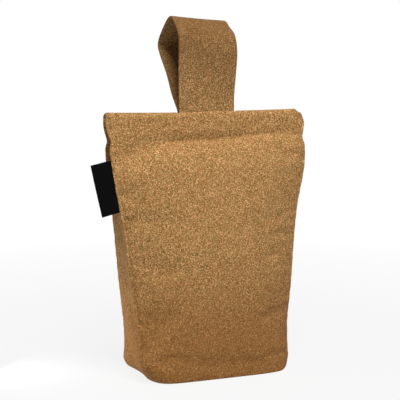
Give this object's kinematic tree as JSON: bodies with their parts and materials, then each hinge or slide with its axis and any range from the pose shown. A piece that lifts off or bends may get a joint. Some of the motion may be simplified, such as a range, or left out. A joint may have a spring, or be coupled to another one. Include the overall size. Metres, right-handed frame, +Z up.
{
  "type": "weighted fabric door stop",
  "caption": "Weighted cloth door stop: a soft filled bag with a flat sewn top, a wide strap loop to carry it by and a plain woven side tab.",
  "frame": {"origin": "on the flat underside, in the plane of the sewn top edge and half way between the side seams", "axes": "+Z up, -Y towards the front panel, +X to the right seen from the front"},
  "size_m": [0.2312, 0.1011, 0.3613],
  "materials": {
    "bag_cloth": "heathered woven upholstery cloth, matt",
    "strap_cloth": "heathered woven upholstery cloth, matt",
    "tab_cloth": "fine black woven satin, left bare"
  },
  "bodies": {
    "root": {"filled_bag": "bag_cloth", "strap_handle": "strap_cloth", "side_tab": "tab_cloth"}
  },
  "joints": []
}
